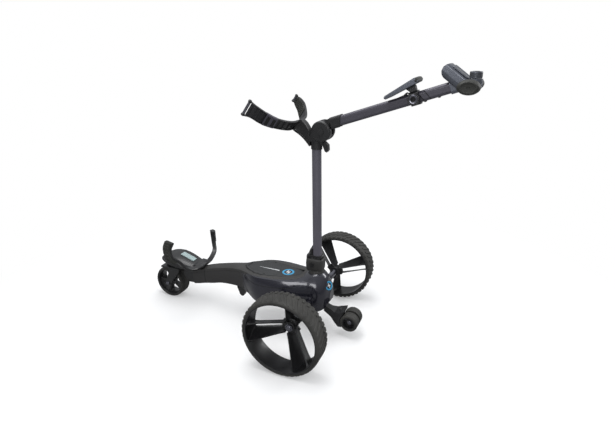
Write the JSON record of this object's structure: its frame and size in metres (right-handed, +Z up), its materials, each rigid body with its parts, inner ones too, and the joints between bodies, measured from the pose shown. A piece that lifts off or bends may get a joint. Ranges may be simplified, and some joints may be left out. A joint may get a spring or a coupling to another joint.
{
  "type": "electric golf trolley",
  "caption": "Three-wheeled electric golf trolley with a folding stem and handle, lift-out battery, swivelling front wheel and anti-tip roller.",
  "frame": {"origin": "on the floor, below the middle of the overall length and width; the rear axle is 123 mm behind it", "axes": "+X is the direction of travel, +Y the left side, +Z up"},
  "size_m": [1.284, 0.637, 0.9944],
  "materials": {
    "body_gloss": "gloss",
    "body_matt": "satin, fine grain",
    "black_plastic": "satin",
    "tube_paint": "satin charcoal powder coat",
    "steel": "brushed",
    "alloy": "satin",
    "tyre_rubber": "moulded",
    "soft_rubber": "matt",
    "battery_case": "fine grain",
    "silver_plastic": "metallic satin",
    "screen_glass": "gloss",
    "badge_blue": "gloss",
    "label_grey": "satin",
    "strap_web": "woven webbing"
  },
  "bodies": {
    "chassis": {"body_shell": "body_gloss", "deck_cover": "body_matt", "spine": "alloy", "battery_tray": "black_plastic", "body_screws": "steel", "motors": "steel", "gearboxes": "alloy", "axle_tubes": "steel", "hosel": "body_matt", "stem_pivot_pin": "steel", "bag_base": "black_plastic", "bag_base_pads": "soft_rubber", "label_plate": "label_grey", "caster_housing": "black_plastic", "parking_foot": "black_plastic", "tip_arm": "black_plastic", "tip_axle": "steel", "rear_badge": "badge_blue"},
    "battery": {"battery_pack": "battery_case", "battery_lid": "battery_case", "battery_badge": "badge_blue"},
    "wheel_left": {"tyre_left": "tyre_rubber", "rim_left": "black_plastic", "hub_cap_left": "silver_plastic", "axle_left": "steel"},
    "release_left": {"release_left": "silver_plastic"},
    "wheel_right": {"tyre_right": "tyre_rubber", "rim_right": "black_plastic", "hub_cap_right": "silver_plastic", "axle_right": "steel"},
    "release_right": {"release_right": "silver_plastic"},
    "caster": {"caster_fork": "black_plastic", "front_axle": "steel"},
    "front_wheel": {"front_tyre": "tyre_rubber", "front_rim": "black_plastic"},
    "anti_tip_wheel": {"tip_tyre": "soft_rubber", "tip_hub": "black_plastic"},
    "stem": {"stem_tube": "tube_paint", "stem_foot": "black_plastic", "knuckle": "black_plastic", "knuckle_pin": "black_plastic", "bag_yoke": "black_plastic", "yoke_pads": "soft_rubber", "yoke_strap": "strap_web", "yoke_hook_bars": "black_plastic"},
    "stem_latch": {"stem_latch": "black_plastic"},
    "handle_latch": {"handle_latch": "black_plastic"},
    "handle": {"knuckle_arm": "black_plastic", "handle_tube": "tube_paint", "clamp_collar": "black_plastic", "card_bracket": "black_plastic", "card_base": "silver_plastic", "console_shell": "silver_plastic", "console_screen": "screen_glass", "t_bar": "silver_plastic", "grips": "soft_rubber"},
    "clamp_knob": {"clamp_knob": "black_plastic"},
    "card_lid": {"card_lid": "silver_plastic"},
    "speed_dial": {"speed_dial": "silver_plastic"},
    "dial_button": {"dial_button": "black_plastic"}
  },
  "joints": [
    {"name": "battery_lift", "type": "slide", "parent": "chassis", "child": "battery", "axis": [0, 0, -1], "range_m": [-0.12, 0]},
    {"name": "wheel_left_spin", "type": "hinge", "parent": "chassis", "child": "wheel_left", "pos_m": [-0.123, 0.281, 0.145], "axis": [0, 1, 0], "continuous": true},
    {"name": "release_left_push", "type": "slide", "parent": "wheel_left", "child": "release_left", "axis": [0, -1, 0], "range_m": [0, 0.004], "stiffness_N_per_m": 400, "springref_m": -0.002},
    {"name": "wheel_right_spin", "type": "hinge", "parent": "chassis", "child": "wheel_right", "pos_m": [-0.123, -0.281, 0.145], "axis": [0, 1, 0], "continuous": true},
    {"name": "release_right_push", "type": "slide", "parent": "wheel_right", "child": "release_right", "axis": [0, 1, 0], "range_m": [0, 0.004], "stiffness_N_per_m": 400, "springref_m": -0.002},
    {"name": "caster_swivel", "type": "hinge", "parent": "chassis", "child": "caster", "pos_m": [0.581, 0, 0.165], "axis": [0, 0, 1], "continuous": true},
    {"name": "front_wheel_spin", "type": "hinge", "parent": "caster", "child": "front_wheel", "pos_m": [0.571, 0, 0.071], "axis": [0, 1, 0], "continuous": true},
    {"name": "anti_tip_spin", "type": "hinge", "parent": "chassis", "child": "anti_tip_wheel", "pos_m": [-0.269, 0, 0.07], "axis": [0, 1, 0], "continuous": true},
    {"name": "stem_fold", "type": "hinge", "parent": "chassis", "child": "stem", "pos_m": [-0.118, 0, 0.283], "axis": [0, 1, 0], "range_deg": [0, 70]},
    {"name": "stem_latch_lift", "type": "hinge", "parent": "stem", "child": "stem_latch", "pos_m": [-0.0975, 0, 0.31], "axis": [0, 1, 0], "range_deg": [-20, 0]},
    {"name": "handle_fold", "type": "hinge", "parent": "stem", "child": "handle", "pos_m": [-0.155, 0, 0.78], "axis": [0, -1, 0], "range_deg": [0, 95]},
    {"name": "handle_latch_pull", "type": "hinge", "parent": "stem", "child": "handle_latch", "pos_m": [-0.1545, 0, 0.741], "axis": [0, -1, 0], "range_deg": [-18, 0]},
    {"name": "clamp_knob_turn", "type": "hinge", "parent": "handle", "child": "clamp_knob", "pos_m": [-0.45506, 0.031, 0.89503], "axis": [0, 1, 0], "continuous": true},
    {"name": "card_lid_lift", "type": "hinge", "parent": "handle", "child": "card_lid", "pos_m": [-0.36706, 0, 0.89995], "axis": [0, 1, 0], "range_deg": [0, 75]},
    {"name": "speed_dial_turn", "type": "hinge", "parent": "handle", "child": "speed_dial", "pos_m": [-0.621, 0, 0.96], "axis": [0, 0, 1], "continuous": true},
    {"name": "dial_button_push", "type": "slide", "parent": "speed_dial", "child": "dial_button", "axis": [0, 0, -1], "range_m": [0, 0.001], "stiffness_N_per_m": 300, "springref_m": -0.001}
  ]
}
